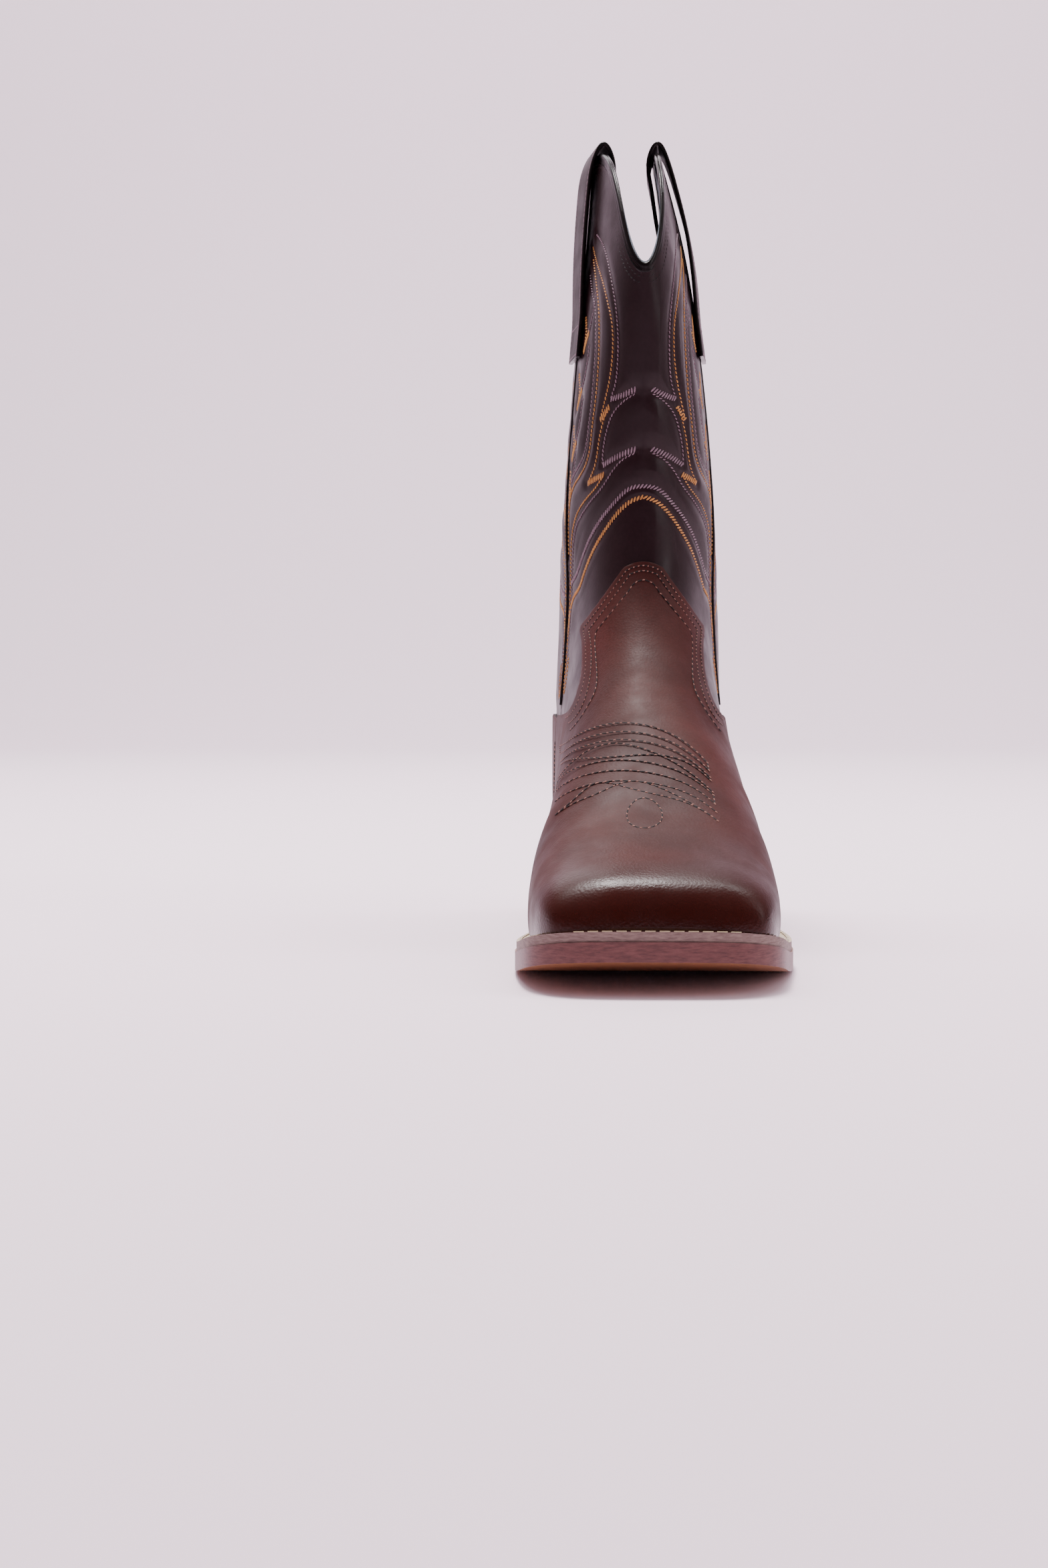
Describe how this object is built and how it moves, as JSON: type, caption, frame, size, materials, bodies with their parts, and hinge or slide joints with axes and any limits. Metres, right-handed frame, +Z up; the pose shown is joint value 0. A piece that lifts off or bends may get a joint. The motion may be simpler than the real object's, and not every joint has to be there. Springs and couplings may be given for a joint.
{
  "type": "cowboy boot",
  "caption": "Left western boot with a broad square toe, low stacked heel, scalloped shaft and side pull straps.",
  "frame": {"origin": "centre of the footprint on the floor", "axes": "+Z up, -Y towards the toe, +X towards the wearer's outer side"},
  "size_m": [0.1069, 0.3042, 0.343],
  "materials": {
    "brown_leather": "pebbled and waxed",
    "shaft_leather": "smooth and glossy",
    "strap_leather": "smooth",
    "binding_leather": "polished",
    "lining_leather": "soft and matt",
    "stiffener_board": "fibreboard",
    "insole_leather": "plain veg-tanned",
    "sock_leather": "soft and matt",
    "cork": "cork paste",
    "shank_steel": "spring steel",
    "welt_leather": "natural edge",
    "rand_leather": "natural edge",
    "welt_thread": "waxed thread",
    "outsole_leather": "stained edge",
    "heel_stack": "stacked layers",
    "heel_rubber": "matt rubber",
    "nail_steel": "plain"
  },
  "bodies": {
    "boot": {"cork_filler": "cork", "counter": "brown_leather", "counter_stiffener": "stiffener_board", "heel_cap": "heel_rubber", "heel_lift_1": "heel_stack", "heel_lift_2": "heel_stack", "heel_lift_3": "heel_stack", "heel_lift_4": "heel_stack", "heel_lining": "lining_leather", "heel_nails": "nail_steel", "heel_rand": "rand_leather", "insole_board": "insole_leather", "outsole": "outsole_leather", "shaft_back_panel": "shaft_leather", "shaft_front_panel": "shaft_leather", "shaft_lining_back": "lining_leather", "shaft_lining_front": "lining_leather", "shank_board": "stiffener_board", "side_piping_lateral": "binding_leather", "side_piping_medial": "binding_leather", "sock_liner": "sock_leather", "steel_shank": "shank_steel", "strap_tabs_lateral": "strap_leather", "strap_tabs_medial": "strap_leather", "toe_puff": "stiffener_board", "top_binding_back": "binding_leather", "top_binding_front": "binding_leather", "vamp": "brown_leather", "vamp_lining": "lining_leather", "welt": "welt_leather", "welt_stitches": "welt_thread"},
    "lateral_strap": {"pull_strap_lateral": "strap_leather"},
    "medial_strap": {"pull_strap_medial": "strap_leather"}
  },
  "joints": [
    {"name": "lateral_strap_pull", "type": "slide", "parent": "boot", "child": "lateral_strap", "axis": [0, 0, 1], "range_m": [0, 0.004], "stiffness_N_per_m": 400},
    {"name": "medial_strap_pull", "type": "slide", "parent": "boot", "child": "medial_strap", "axis": [0, 0, 1], "range_m": [0, 0.004], "stiffness_N_per_m": 400}
  ]
}
